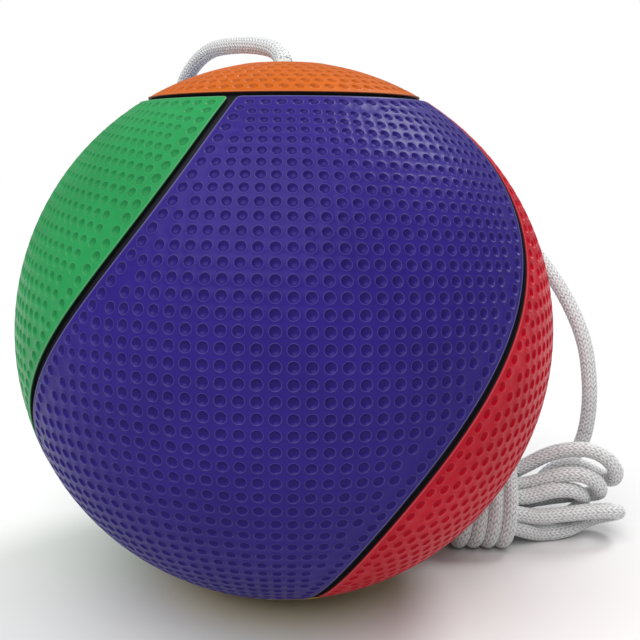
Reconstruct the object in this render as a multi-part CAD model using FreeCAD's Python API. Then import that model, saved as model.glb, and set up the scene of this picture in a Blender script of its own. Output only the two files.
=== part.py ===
"""Tetherball set: an inflated six-panel ball on its braided rope.

Millimetres, +Z up. The origin is the point where the ball touches the surface it stands on, so the
ball's centre is straight above it, and the rope is tied in the recess at the ball's top.
"""
import FreeCAD, Part
import math
import os

from FreeCAD import Vector

# ---- ball: layers from the outside in -------------------------------------------------------------
BALL_R = 108.0            # outer radius of the panels
PANEL_T = 1.4
CARCASS_T = 0.6
WINDING_T = 0.65
BLADDER_T = 0.6
LAYER_GAP = 0.05          # bond line between two layers
CENTRE = Vector(0, 0, BALL_R)

PANEL_IN = BALL_R - PANEL_T
CARCASS_OUT = PANEL_IN - LAYER_GAP
CARCASS_IN = CARCASS_OUT - CARCASS_T
WINDING_OUT = CARCASS_IN - LAYER_GAP
WINDING_IN = WINDING_OUT - WINDING_T
BLADDER_OUT = WINDING_IN - LAYER_GAP
BLADDER_IN = BLADDER_OUT - BLADDER_T

# ---- seams: two round caps, and four side panels between S-shaped seams -----------------------------
CHANNEL_W = 3.2           # black channel between two panels
CAP_LAT = 59.5            # latitude of the channel round each cap, degrees
SEAM_COUNT = 4
SEAM_FIRST_AZ = -47.9     # azimuth of the first seam's middle, degrees from the front (-Y) towards +X
SEAM_SWING = 34.0         # how far a seam swings to each side of its middle, degrees
SEAM_BEND_LAT = 39.2      # latitude over which it swings
SEAM_MID_LAT = 4.0        # latitude of its middle
SEAM_POINTS = 13
SIDE_PANELS = ("panel_front", "panel_right", "panel_back", "panel_left")

# ---- recess for the tether, at the ball's top -------------------------------------------------------
RECESS_R = 15.0
RECESS_DEPTH = 22.0       # from the ball's full height to the recess's floor
CUP_NECK_R = 17.0         # the cup where it passes through the layers
CUP_BODY_R = 22.0         # the thick rubber plug below them
CUP_FLOOR_T = 2.5
CUP_LIP_R = 1.2
FLANGE_R = 32.0
FLANGE_T = 0.3
FIT_GAP = 0.05
BALL_TOP = 2 * BALL_R
CUP_FLOOR_Z = BALL_TOP - RECESS_DEPTH
PIN_R = 2.5
PIN_LENGTH = 38.0
PIN_CHAMFER = 0.4
PIN_Z = BALL_TOP - 11.0
SOCKET_R = 4.0
SOCKET_LENGTH = 5.0
SOCKET_CAP_T = 0.8
PIN_FIT = 0.02

# ---- inflation valve, on the back panel -------------------------------------------------------------
VALVE_LAT = -5.0
VALVE_AZ = 172.0
VALVE_R = 4.2
VALVE_LENGTH = 17.0
VALVE_SUNK = 0.3          # its face lies this much below the panel's
VALVE_FLANGE_R = 9.5
VALVE_FLANGE_T = 1.2
VALVE_FLANGE_DROP = 0.45  # the flat flange's rim just meets the bladder's curved wall
CORE_R = 2.4
CORE_HEAD_R = 3.1
CORE_HEAD_T = 1.0
CORE_LENGTH = 13.0
NEEDLE_R = 1.0
OUTLET_R = 1.5            # passage from the core into the bladder

# ---- rope --------------------------------------------------------------------------------------------
ROPE_R = 3.5
EYE_FIT = 0.15                      # the eye turns freely on the pin
EYE_R = PIN_R + ROPE_R + EYE_FIT    # radius of the eye's centreline round the pin
NECK_LEAN = 45.0                    # the eye's neck lies back over the recess's rim
NECK_LENGTH = 16.0                  # from the pin's axis to the end of the neck
NECK_ROOT_R = 4.4
WHIPPING_R = 4.9
WHIPPING_FROM, WHIPPING_TO = 10.6, 13.4
NECK_END_GAP = 0.6                  # room for the neck's end to turn past the rope's
FIRST_RUN = 13.4                    # the rope's first run, straight out of the neck

# The free rope's route, from the neck over the ball's back shoulder and down to the hank.
ROUTE = [
    (-8.0, 38.0, 233.0),
    (-25.0, 59.0, 232.5),
    (-42.0, 82.0, 230.0),
    (-52.0, 99.0, 213.0),
    (-48.0, 100.0, 190.0),
    (-28.0, 95.0, 176.0),
    (10.0, 99.5, 173.5),
    (48.0, 94.0, 170.5),
    (84.0, 88.0, 162.0),
    (115.0, 85.0, 145.0),
    (137.0, 71.0, 119.0),
    (147.5, 55.0, 93.0),
    (148.0, 42.0, 69.0),
    (144.0, 37.0, 51.0),
]
BEND_SHARE = 0.45                   # share of the shorter run that each bend takes

# The hank's outer shape: station along X, centre Y and Z, half width in Y, half height in Z.
HANK_SECTIONS = [
    (50.0, 76.0, 14.0, 7.0, 7.0),
    (60.0, 64.0, 15.5, 13.5, 14.5),
    (76.0, 38.0, 17.6, 18.5, 16.9),
    (92.0, 33.0, 18.3, 20.0, 17.5),
    (108.0, 33.0, 18.9, 20.0, 18.0),
    (124.0, 34.0, 23.9, 20.0, 22.0),
    (142.0, 35.0, 26.6, 20.0, 24.6),
    (158.0, 36.0, 25.2, 17.0, 22.0),
    (169.0, 37.0, 20.0, 9.0, 12.0),
]

# The rope's sealed end, which comes out of the hank's far side.
TIP_R = 3.9
TIP_LENGTH = 12.0
TIP_START = Vector(64.0, 70.0, 15.0)
TIP_WAY = Vector(-0.35, 0.92, -0.17)


def on_sphere(lat, az, radius):
    """Point at a latitude and an azimuth, in degrees, on a sphere about the ball's centre."""
    lat, az = math.radians(lat), math.radians(az)
    way = Vector(math.cos(lat) * math.sin(az), -math.cos(lat) * math.cos(az), math.sin(lat))
    return CENTRE + way * radius


def revolve(edges, angle=360.0):
    """Solid turned about the ball's upright axis from a closed profile in the XZ plane."""
    face = Part.Face(Part.Wire(Part.__sortEdges__(edges)))
    return face.revolve(Vector(0, 0, 0), Vector(0, 0, 1), angle)


def profile_point(lat, radius):
    """Point of a profile in the XZ plane, on the +X side."""
    return on_sphere(lat, 90.0, radius)


def arc(lat_from, lat_to, radius):
    """Profile arc about the ball's centre between two latitudes."""
    middle = profile_point((lat_from + lat_to) / 2, radius)
    return Part.Arc(profile_point(lat_from, radius), middle, profile_point(lat_to, radius)).toShape()


def line(a, b):
    return Part.LineSegment(a, b).toShape()


def polygon(points):
    """Closed profile of straight sides, in the XZ plane."""
    corners = [Vector(x, 0, z) for x, z in points]
    return [line(a, b) for a, b in zip(corners, corners[1:] + corners[:1])]


def zone(inner, outer, lat_low, lat_high, angle=360.0):
    """Spherical shell between two latitudes, cut square to its surface, turned from +X towards +Y."""
    edges = [arc(lat_low, lat_high, outer), arc(lat_low, lat_high, inner)]
    for lat in (lat_low, lat_high):
        edges.append(line(profile_point(lat, inner), profile_point(lat, outer)))
    return revolve(edges, angle)


def lat_at_radius(hole_r, radius):
    """Latitude at which a sphere of this radius has an upright hole of hole_r in its top."""
    return math.degrees(math.acos(hole_r / radius))


def upright(radius, z_low, z_high):
    return Part.makeCylinder(radius, z_high - z_low, Vector(0, 0, z_low))


def along(radius, length, start, way):
    return Part.makeCylinder(radius, length, start, way)


def seam_az(lat, number):
    """Azimuth of a side seam at a latitude: an S that swings to each side of its middle."""
    swing = SEAM_SWING * math.tanh((lat - SEAM_MID_LAT) / SEAM_BEND_LAT)
    return SEAM_FIRST_AZ + number * 360.0 / SEAM_COUNT + swing


def seam_edge(number, side, radius):
    """Smooth edge along a seam, half a channel to one side of it, on a sphere of this radius."""
    reach = CAP_LAT + 2.0
    step = 0.05
    points = []
    for i in range(SEAM_POINTS):
        lat = -reach + 2 * reach * i / (SEAM_POINTS - 1)
        here = on_sphere(lat, seam_az(lat, number), 1.0) - CENTRE
        ahead = on_sphere(lat + step, seam_az(lat + step, number), 1.0) - CENTRE
        sideways = here.cross(ahead - here).normalize()
        offset = side * CHANNEL_W / 2 / BALL_R
        points.append(CENTRE + (here + sideways * offset).normalize() * radius)
    curve = Part.BSplineCurve()
    curve.interpolate(points)
    return curve.toShape()


def seam_tool(number):
    """Solid that cuts one side channel through the panel layer."""
    low, high = PANEL_IN - 1.0, BALL_R + 1.0
    rails = [seam_edge(number, side, radius) for side in (-1, 1) for radius in (low, high)]
    left_low, left_high, right_low, right_high = rails
    faces = [
        Part.makeRuledSurface(left_low, left_high),
        Part.makeRuledSurface(right_low, right_high),
        Part.makeRuledSurface(left_low, right_low),
        Part.makeRuledSurface(left_high, right_high),
    ]
    for end in (0, -1):
        ring = [rail.Vertexes[end].Point for rail in (left_low, left_high, right_high, right_low)]
        faces.append(Part.makeFilledFace([line(a, b) for a, b in zip(ring, ring[1:] + ring[:1])]))
    shell = Part.makeShell(faces)
    shell.sewShape()
    solid = Part.Solid(shell)
    if solid.Volume < 0:
        solid.reverse()
    return solid


def valve_place(shape):
    """Move a shape built along +Z, outer end at 0, onto the valve's axis."""
    way = (on_sphere(VALVE_LAT, VALVE_AZ, 1.0) - CENTRE).normalize()
    turn = FreeCAD.Rotation(Vector(0, 0, 1), way)
    return shape.transformed(FreeCAD.Placement(CENTRE + way * (BALL_R - VALVE_SUNK), turn).toMatrix())


def valve_hole(radius):
    return valve_place(Part.makeCylinder(radius, 30.0, Vector(0, 0, -25.0)))


def downward(radius, depth):
    """Cylinder from the valve's face down."""
    return Part.makeCylinder(radius, depth, Vector(0, 0, -depth))


# ---- ball ---------------------------------------------------------------------------------------------
def cap_panels():
    """The two round caps; the top one has a hole for the tether's cup."""
    half_channel = math.degrees(CHANNEL_W / 2 / BALL_R)
    edge = CAP_LAT + half_channel
    hole = upright(CUP_NECK_R + FIT_GAP, BALL_TOP - 8, BALL_TOP + 2)
    top = zone(PANEL_IN, BALL_R, edge, 90.0).cut(hole)
    bottom = zone(PANEL_IN, BALL_R, -90.0, -edge)
    return {"panel_top": top, "panel_bottom": bottom}


def side_panels():
    """Four equal panels of the belt between the caps, parted by the four S-shaped channels."""
    half_channel = math.degrees(CHANNEL_W / 2 / BALL_R)
    edge = CAP_LAT - half_channel
    sector, sector_from = 200.0, 170.0      # holds the front panel and both of its seams
    belt = zone(PANEL_IN, BALL_R, -edge, edge, sector)
    belt.rotate(Vector(0, 0, 0), Vector(0, 0, 1), sector_from)
    pieces = belt.cut([seam_tool(0), seam_tool(1)]).Solids
    front = min(pieces, key=lambda piece: piece.CenterOfMass.y)
    panels = {}
    for number, name in enumerate(SIDE_PANELS):
        panel = front.copy()
        panel.rotate(Vector(0, 0, 0), Vector(0, 0, 1), number * 360.0 / SEAM_COUNT)
        panels[name] = panel
    panels["panel_back"] = panels["panel_back"].cut(valve_hole(VALVE_R + FIT_GAP))
    return panels


def layer(inner, outer, hole_r):
    """A whole layer of the ball, open round the cup and the valve."""
    shell = zone(inner, outer, -90.0, lat_at_radius(hole_r, outer))
    shell = shell.cut(upright(hole_r, BALL_R, BALL_TOP + 2))
    return shell.cut(valve_hole(VALVE_R + FIT_GAP))


def bladder():
    """Air-tight bladder, with a pocket moulded round the cup."""
    wall = CUP_BODY_R + FIT_GAP
    floor_z = CUP_FLOOR_Z - CUP_FLOOR_T - FIT_GAP
    lat_out = lat_at_radius(wall, BLADDER_OUT)
    lat_in = lat_at_radius(wall + BLADDER_T, BLADDER_IN)
    rim_out, rim_in = profile_point(lat_out, BLADDER_OUT), profile_point(lat_in, BLADDER_IN)
    corners = [
        rim_out,
        Vector(wall, 0, floor_z),
        Vector(0, 0, floor_z),
        Vector(0, 0, floor_z - BLADDER_T),
        Vector(wall + BLADDER_T, 0, floor_z - BLADDER_T),
        rim_in,
    ]
    edges = [line(a, b) for a, b in zip(corners, corners[1:])]
    edges.append(arc(-90.0, lat_out, BLADDER_OUT))
    edges.append(arc(-90.0, lat_in, BLADDER_IN))
    edges.append(line(profile_point(-90.0, BLADDER_IN), profile_point(-90.0, BLADDER_OUT)))
    return revolve(edges).cut(valve_hole(VALVE_R + FIT_GAP))


def valve_parts():
    """Rubber valve body bonded to the bladder, and the self-sealing core that takes the needle."""
    depth = BALL_R - VALVE_SUNK - BLADDER_IN
    body = downward(VALVE_R, VALVE_LENGTH)
    flange = Part.makeCylinder(
        VALVE_FLANGE_R, VALVE_FLANGE_T, Vector(0, 0, -depth - VALVE_FLANGE_T - VALVE_FLANGE_DROP)
    )
    body = body.fuse(flange).removeSplitter()
    body = body.cut(downward(CORE_R + FIT_GAP, CORE_LENGTH + FIT_GAP))
    body = body.cut(downward(CORE_HEAD_R + FIT_GAP, CORE_HEAD_T + FIT_GAP))
    body = body.cut(downward(OUTLET_R, VALVE_LENGTH + 1.0))
    core = downward(CORE_R, CORE_LENGTH).fuse(downward(CORE_HEAD_R, CORE_HEAD_T)).removeSplitter()
    core = core.cut(downward(NEEDLE_R, CORE_LENGTH + 1.0))
    return {"valve_body": valve_place(body), "valve_core": valve_place(core)}


# ---- tether's recess ------------------------------------------------------------------------------------
def tether_cup():
    """Rubber cup sunk in the ball's top, with a lip at the mouth and a flange under the layers."""
    mouth_z = CENTRE.z + math.sqrt(BALL_R**2 - CUP_NECK_R**2)
    shoulder_z = CENTRE.z + math.sqrt(BLADDER_OUT**2 - CUP_BODY_R**2) - FIT_GAP
    outline = [
        (RECESS_R, CUP_FLOOR_Z),
        (0, CUP_FLOOR_Z),
        (0, CUP_FLOOR_Z - CUP_FLOOR_T),
        (CUP_BODY_R, CUP_FLOOR_Z - CUP_FLOOR_T),
        (CUP_BODY_R, shoulder_z),
        (CUP_NECK_R, shoulder_z + 1.0),
        (CUP_NECK_R, mouth_z),
        (RECESS_R, mouth_z),
    ]
    body = revolve(polygon(outline))
    flange = zone(
        WINDING_IN, WINDING_IN + FLANGE_T, lat_at_radius(FLANGE_R, WINDING_IN), 90.0
    ).cut(upright(RECESS_R, BALL_R, BALL_TOP + 2))
    cup = body.fuse(flange).removeSplitter()
    lips = [
        edge
        for edge in cup.Edges
        if abs(edge.BoundBox.ZMin - mouth_z) < 1e-3 and abs(edge.BoundBox.XMax - RECESS_R) < 1e-3
    ]
    cup = cup.makeFillet(CUP_LIP_R, lips)
    pocket_r = SOCKET_R + PIN_FIT
    for side in (-1, 1):
        start = Vector(side * (RECESS_R - 1.0), 0, PIN_Z)
        cup = cup.cut(along(pocket_r, SOCKET_LENGTH + 1.0, start, Vector(side, 0, 0)))
    return cup


def pin_sockets():
    """Two steel cups moulded into the rubber, one at each end of the pin."""
    recess = upright(RECESS_R + PIN_FIT, PIN_Z - SOCKET_R - 1.0, PIN_Z + SOCKET_R + 1.0)
    sockets = []
    for side in (-1, 1):
        start, way = Vector(side * RECESS_R, 0, PIN_Z), Vector(side, 0, 0)
        blank = along(SOCKET_R, SOCKET_LENGTH, start, way)
        bore = along(PIN_R + PIN_FIT, SOCKET_LENGTH - SOCKET_CAP_T, start, way)
        sockets.append(blank.cut(bore).cut(recess))
    return Part.makeCompound(sockets)


def tether_pin():
    pin = along(PIN_R, PIN_LENGTH, Vector(-PIN_LENGTH / 2, 0, PIN_Z), Vector(1, 0, 0))
    return pin.makeChamfer(PIN_CHAMFER, [pin.Edges[0], pin.Edges[2]])


def cup_patch():
    """Fabric ring that ties the cup's flange to the winding."""
    inner = WINDING_IN + FLANGE_T + LAYER_GAP
    ring = zone(inner, WINDING_OUT, lat_at_radius(FLANGE_R, inner), 90.0)
    return ring.cut(upright(CUP_NECK_R + FIT_GAP, BALL_R, BALL_TOP + 2))


# ---- rope -----------------------------------------------------------------------------------------------
def neck_way():
    lean = math.radians(NECK_LEAN)
    return Vector(0, math.sin(lean), math.cos(lean))


def tether_eye():
    """Spliced eye round the pin, with the neck where the rope's tail is buried."""
    pin_point = Vector(0, 0, PIN_Z)
    ring = Part.makeTorus(EYE_R, ROPE_R, pin_point, Vector(1, 0, 0))
    way = neck_way()
    root = PIN_R + ROPE_R
    neck = Part.makeCone(NECK_ROOT_R, ROPE_R, NECK_LENGTH - root, pin_point + way * root, way)
    hole = along(PIN_R + EYE_FIT, 4 * ROPE_R, pin_point - Vector(2 * ROPE_R, 0, 0), Vector(1, 0, 0))
    return ring.fuse(neck).cut(hole)


def eye_whipping(eye):
    """Thread bound round the neck over the splice."""
    start = Vector(0, 0, PIN_Z) + neck_way() * WHIPPING_FROM
    band = along(WHIPPING_R, WHIPPING_TO - WHIPPING_FROM, start, neck_way())
    return band.cut(eye)


def rope_points():
    """Corners of the free rope's route, the first run straight out of the neck."""
    start = Vector(0, 0, PIN_Z) + neck_way() * (NECK_LENGTH + NECK_END_GAP)
    first = start + neck_way() * FIRST_RUN
    return [start, first] + [Vector(*p) for p in ROUTE]


def rope_path(points):
    """Straight runs joined by tangent arcs, each as large as its two runs allow."""
    edges = []
    at = points[0]
    radii = []
    for before, corner, after in zip(points, points[1:], points[2:]):
        run_in, run_out = corner - before, after - corner
        turn = run_in.getAngle(run_out)
        reach = BEND_SHARE * min(run_in.Length, run_out.Length)
        radius = reach / math.tan(turn / 2)
        radii.append(radius)
        way_in, way_out = run_in.normalize(), run_out.normalize()
        enter, leave = corner - way_in * reach, corner + way_out * reach
        inward = (way_out - way_in).normalize()
        middle = corner + inward * (radius / math.cos(turn / 2) - radius)
        edges.append(line(at, enter))
        edges.append(Part.Arc(enter, middle, leave).toShape())
        at = leave
    edges.append(line(at, points[-1]))
    return Part.Wire(edges), radii


def tether_rope(hank):
    """The free rope as a plain tube, ending on the hank."""
    path, radii = rope_path(rope_points())
    start = path.Edges[0]
    way = start.tangentAt(start.FirstParameter)
    section = Part.Wire(Part.makeCircle(ROPE_R, start.valueAt(start.FirstParameter), way))
    tube = path.makePipeShell([section], True, False)
    expected = math.pi * ROPE_R**2 * path.Length
    print("rope: length %.1f, volume over section times length %.5f" % (path.Length, tube.Volume / expected))
    print("rope: bend radii", " ".join("%.0f" % r for r in radii))
    return tube.cut(hank)


def rope_hank():
    """Outer shape of the rope's folded and wrapped hank."""
    rings = []
    for x, y, z, half_y, half_z in HANK_SECTIONS:
        if half_y > half_z:
            oval = Part.Ellipse(Vector(0, 0, 0), half_y, half_z)
            turn = FreeCAD.Rotation(Vector(0, 1, 0), Vector(0, 0, 1), Vector(1, 0, 0), "XYZ")
        else:
            oval = Part.Ellipse(Vector(0, 0, 0), half_z + 1e-3, half_y)
            turn = FreeCAD.Rotation(Vector(0, 0, 1), Vector(0, -1, 0), Vector(1, 0, 0), "XYZ")
        ring = oval.toShape()
        ring.Placement = FreeCAD.Placement(Vector(x, y, z), turn)
        rings.append(Part.Wire(ring))
    return Part.makeLoft(rings, True, False)


def rope_end_tip(hank):
    """Sealed sleeve on the rope's end."""
    return along(TIP_R, TIP_LENGTH, TIP_START, TIP_WAY).cut(hank)


def build():
    shapes = {}
    shapes.update(cap_panels())
    shapes.update(side_panels())
    shapes["carcass"] = layer(CARCASS_IN, CARCASS_OUT, CUP_NECK_R + FIT_GAP)
    shapes["winding"] = layer(WINDING_IN, WINDING_OUT, FLANGE_R + 2 * FIT_GAP)
    shapes["bladder"] = bladder()
    shapes.update(valve_parts())
    shapes["tether_cup"] = tether_cup()
    shapes["cup_patch"] = cup_patch()
    shapes["pin_sockets"] = pin_sockets()
    shapes["tether_pin"] = tether_pin()
    shapes["tether_eye"] = tether_eye()
    shapes["eye_whipping"] = eye_whipping(shapes["tether_eye"])
    shapes["rope_hank"] = rope_hank()
    shapes["tether_rope"] = tether_rope(shapes["rope_hank"])
    shapes["rope_end_tip"] = rope_end_tip(shapes["rope_hank"])
    return shapes


os.makedirs("parts", exist_ok=True)
for node, shape in build().items():
    print("%-14s solids %d valid %s volume %.1f" % (node, len(shape.Solids), shape.isValid(), shape.Volume))
    shape.exportStep("parts/%s.step" % node)
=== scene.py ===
"""Tetherball set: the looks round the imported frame. Metres, +Z up, the ball standing on Z = 0."""
import math

import bpy
import numpy as np
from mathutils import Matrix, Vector, geometry, kdtree


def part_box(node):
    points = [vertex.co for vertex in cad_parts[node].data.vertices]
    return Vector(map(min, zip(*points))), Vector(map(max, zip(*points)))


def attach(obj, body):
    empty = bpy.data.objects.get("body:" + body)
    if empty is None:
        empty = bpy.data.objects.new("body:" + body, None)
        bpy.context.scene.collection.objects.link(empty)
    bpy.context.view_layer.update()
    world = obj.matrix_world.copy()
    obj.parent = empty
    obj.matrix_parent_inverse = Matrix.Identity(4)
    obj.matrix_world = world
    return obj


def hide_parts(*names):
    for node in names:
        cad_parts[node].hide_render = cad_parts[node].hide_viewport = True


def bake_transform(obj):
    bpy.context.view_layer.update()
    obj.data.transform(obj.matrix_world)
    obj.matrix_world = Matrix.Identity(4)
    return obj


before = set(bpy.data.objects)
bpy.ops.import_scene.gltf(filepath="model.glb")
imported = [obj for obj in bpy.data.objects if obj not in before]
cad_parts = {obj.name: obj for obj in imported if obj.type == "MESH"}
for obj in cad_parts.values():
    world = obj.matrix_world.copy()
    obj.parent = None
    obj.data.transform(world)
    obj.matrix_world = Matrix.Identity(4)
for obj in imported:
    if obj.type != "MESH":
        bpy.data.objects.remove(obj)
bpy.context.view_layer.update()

MM = 0.001

# ---- ball, from the frame and from the same seams as the CAD part --------------------------------
BALL_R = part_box("panel_left")[0].x * -1
PANEL_T = 1.4 * MM
CHANNEL_W = 3.2 * MM
CAP_LAT = 59.5
SEAM_COUNT = 4
SEAM_FIRST_AZ = -47.9
SEAM_SWING = 34.0
SEAM_BEND_LAT = 39.2
SEAM_MID_LAT = 4.0
SIDE_PANELS = ("panel_front", "panel_right", "panel_back", "panel_left")
CUP_R = 17.05 * MM
VALVE_LAT, VALVE_AZ = -5.0, 172.0
VALVE_HOLE_R = 4.25 * MM

# ---- dimples -------------------------------------------------------------------------------------
DIMPLE_R = 1.95 * MM
DIMPLE_DEPTH_SHARE = 0.48            # depth over radius
DIMPLE_SIDES = 13
DIMPLE_CLOSE = 0.37                  # radius over the distance to the nearest dimple, at most
EDGE_ROW = 4.0 * MM                  # the dimples' row along a panel's edge
EDGE_PITCH = 5.3 * MM
EDGE_CLEAR = 4.5 * MM                # the grid stops this far from that row
COLUMN_PITCH = 2.937                 # degrees, at the panel's middle height
COLUMN_FIRST = -1.39
ROW_FIRST = 22.6
ROW_PITCH = 2.69
ROW_GROWTH = 0.0095                  # rows get wider apart downwards
ROW_LEAN = 0.018
ROW_SAG = 0.0009
GRID_REACH = 65.0                    # latitude that no point of the grid passes
GRID_ROWS = range(-15, 32)           # wider than a panel; what falls outside it is dropped
GRID_COLUMNS = range(-32, 33)
GRID_PASSES = 4                      # rounds in which a point's latitude and azimuth settle
CAP_PITCH = 5.1 * MM                 # rings of dimples on a cap
FACING = 0.2                         # cosine of the furthest grid point from the panel's middle
EDGE_ROW_KEEP = 0.97                 # nearer to the edge than this share, a row's point has folded over
# Rings of a dimple: share of its radius, share of its depth; under 0 stands proud.
BOWL = ((1.14, 0.0), (1.03, -0.07), (0.93, 0.16), (0.76, 0.56), (0.52, 0.86), (0.27, 0.98))
DIMPLE_RIM_WEAR_AND_HIGHLIGHT = 0.55               # paler ring round a dimple, wear and painted highlight, on the scale where a lip is 1
# A panel's edge, in millimetres: distance in from the channel, height over the panel.
EDGE = ((0.0, -1.4), (0.0, -0.3), (0.08, 0.0), (0.28, 0.14), (0.5, 0.11), (0.75, 0.0), (1.0, 0.0))
LIP_OVER, WALL_UNDER = 0.05, -0.1    # heights past which the edge counts as lip and as wall
EDGE_STEP = 0.9 * MM
CORNER_R = 1.8 * MM
OUTLINE_POINTS = 400                 # points of a seam line before it is resampled
CAP_ARC_POINTS = 200
INSIDE_CLEAR = 4 * MM                # the inside's points stay this far from its edge

# ---- rope ----------------------------------------------------------------------------------------
ROPE_D = 7.0 * MM
ROPE_R = ROPE_D / 2
WALES = 16                           # columns of stitches round the rope
STITCH = 2.3 * MM                    # one stitch along the rope
STITCH_HEIGHT = 0.52 * MM
STITCH_SLANT = 0.42                  # stitches that one leans across half a column
STITCH_SHARPNESS = 2.2
STITCH_FLOOR = 0.12                  # height between two stitches, as a share of a stitch's
STITCH_MEAN = 0.62
CROWN_FALL = 0.45                    # how much lower a column is at its sides
WALE_POINTS = 4
ROPE_STEP = 0.5 * MM


# ---- mesh helpers --------------------------------------------------------------------------------
def unit(rows):
    rows = np.asarray(rows, float)
    return rows / np.linalg.norm(rows, axis=-1, keepdims=True)


def on_ball(lat, az):
    """Directions from the ball's centre, from degrees; azimuth 0 is the front, growing towards +X."""
    lat, az = np.broadcast_arrays(np.radians(lat), np.radians(az))
    return np.stack([np.cos(lat) * np.sin(az), -np.cos(lat) * np.cos(az), np.sin(lat)], -1)


def place(ways, height):
    """Points over the ball's surface in these directions."""
    points = ways * (BALL_R + np.asarray(height))[..., None]
    points[..., 2] += BALL_R
    return points


def new_mesh(name, points, faces, smooth_below=55.0, **attributes):
    """Smooth mesh whose faces all have the same number of corners, with values stored at its points."""
    mesh = bpy.data.meshes.new(name)
    points = np.asarray(points, np.float32)
    faces = np.asarray(faces, np.int32)
    size = faces.shape[1]
    mesh.vertices.add(len(points))
    mesh.vertices.foreach_set("co", points.ravel())
    mesh.loops.add(faces.size)
    mesh.loops.foreach_set("vertex_index", faces.ravel())
    mesh.polygons.add(len(faces))
    mesh.polygons.foreach_set("loop_start", np.arange(0, faces.size, size, dtype=np.int32))
    for key, values in attributes.items():
        attribute = mesh.attributes.new(key, "FLOAT", "POINT")
        attribute.data.foreach_set("value", np.asarray(values, np.float32))
    mesh.update(calc_edges=True)
    mesh.validate()
    mesh.shade_smooth()
    mesh.set_sharp_from_angle(angle=math.radians(smooth_below))
    return mesh


def new_piece(name, mesh, material):
    piece = bpy.data.objects.new(name, mesh)
    bpy.context.scene.collection.objects.link(piece)
    if piece.data.materials:
        piece.data.materials[0] = material
    else:
        piece.data.materials.append(material)
    return piece


def resample(line, step, trim=0.0):
    """Points a step apart along a line, leaving out trim at both ends."""
    line = np.asarray(line, float)
    along = np.concatenate([[0], np.cumsum(np.linalg.norm(np.diff(line, axis=0), axis=1))])
    count = max(2, int(round((along[-1] - 2 * trim) / step)) + 1)
    at = np.linspace(trim, along[-1] - trim, count)
    return np.stack([np.interp(at, along, line[:, k]) for k in range(line.shape[1])], -1)


# ---- ball panels ---------------------------------------------------------------------------------
class Chart:
    """A flat map of the ball about one direction, true to distance from its middle."""

    def __init__(self, middle):
        self.c = unit(middle)
        up = np.array([0.0, 0.0, 1.0]) if abs(self.c[2]) < 0.9 else np.array([0.0, 1.0, 0.0])
        self.a = unit(np.cross(up, self.c))
        self.b = np.cross(self.c, self.a)

    def flat(self, ways):
        angle = np.arccos(np.clip(ways @ self.c, -1, 1))
        share = np.where(angle > 1e-9, angle / np.maximum(np.sin(angle), 1e-12), 1.0)
        return np.stack([ways @ self.a * share, ways @ self.b * share], -1) * BALL_R / MM


def seam_line(number, side):
    """Edge of a side channel, from the bottom cap's channel to the top cap's, as directions."""
    lat = np.linspace(-CAP_LAT - 2, CAP_LAT + 2, OUTLINE_POINTS)
    az = SEAM_FIRST_AZ + number * 360.0 / SEAM_COUNT
    az = az + SEAM_SWING * np.tanh((lat - SEAM_MID_LAT) / SEAM_BEND_LAT)
    here = on_ball(lat, az)
    sideways = unit(np.cross(here, np.gradient(here, axis=0)))
    line = unit(here + sideways * side * CHANNEL_W / 2 / BALL_R)
    reach = math.sin(math.radians(CAP_LAT) - CHANNEL_W / 2 / BALL_R)
    return line[np.abs(line[:, 2]) < reach]


def side_outline():
    """Outline of the front panel, anticlockwise from outside, with small round corners."""
    left, right = seam_line(0, -1), seam_line(1, 1)
    edge_lat = CAP_LAT - math.degrees(CHANNEL_W / 2 / BALL_R)

    def azimuth(way):
        return math.degrees(math.atan2(way[0], -way[1]))

    def cap_arc(lat, from_way, to_way):
        return on_ball(lat, np.linspace(azimuth(from_way), azimuth(to_way), CAP_ARC_POINTS))

    bottom = cap_arc(-edge_lat, left[0], right[0])
    top = cap_arc(edge_lat, right[-1], left[-1])
    return round_corners([bottom, right, top, left[::-1]])


def round_corners(sides):
    """One closed outline from sides that meet at corners."""
    step, trim = EDGE_STEP / BALL_R, CORNER_R / BALL_R
    cut = [resample(side, step, trim) for side in sides]
    out = []
    for side, following, after in zip(sides, sides[1:] + sides[:1], cut[1:] + cut[:1]):
        mine = cut[len(out) // 2]
        corner = (side[-1] + following[0]) / 2
        t = np.linspace(0, 1, 5)[1:-1, None]
        bend = mine[-1] * (1 - t) ** 2 + corner * 2 * t * (1 - t) + after[0] * t**2
        out += [mine, bend]
    return unit(np.concatenate(out))


def ring_outline(lat, clockwise=False):
    """Circle of one latitude."""
    count = int(round(2 * math.pi * math.cos(math.radians(lat)) * BALL_R / EDGE_STEP))
    az = np.arange(count) * 360.0 / count
    return on_ball(lat, -az if clockwise else az)


def hole_outline(middle, radius, count=36):
    """Clockwise circle round a direction."""
    a, b = tangents(middle[None])
    turn = -np.arange(count)[:, None] * 2 * math.pi / count
    return unit(middle + (a * np.cos(turn) + b * np.sin(turn)) * radius / BALL_R)


def tangents(ways):
    """Two directions along the surface at each point, right-handed with the outward one."""
    up = np.where(np.abs(ways[:, 2:]) < 0.9, [[0.0, 0.0, 1.0]], [[0.0, 1.0, 0.0]])
    a = unit(np.cross(up, ways))
    return a, np.cross(ways, a)


def inset(outline, distance):
    """The outline moved to its left along the surface."""
    before, after = np.roll(outline, 1, axis=0), np.roll(outline, -1, axis=0)
    n1 = unit(np.cross(outline, outline - before))
    n2 = unit(np.cross(outline, after - outline))
    both = (n1 + n2) / (1 + np.sum(n1 * n2, axis=1, keepdims=True))
    return unit(outline + both * distance / BALL_R)


def edge_row(outline):
    """Evenly spaced dimples along an outline."""
    row = inset(outline, EDGE_ROW)
    row = row[near(row, outline) > EDGE_ROW_KEEP * EDGE_ROW]
    closed = np.concatenate([row, row[:1]])
    length = np.linalg.norm(np.diff(closed, axis=0), axis=1).sum() * BALL_R
    count = int(round(length / EDGE_PITCH))
    return unit(resample(closed, length / BALL_R / count)[:-1])


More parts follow.
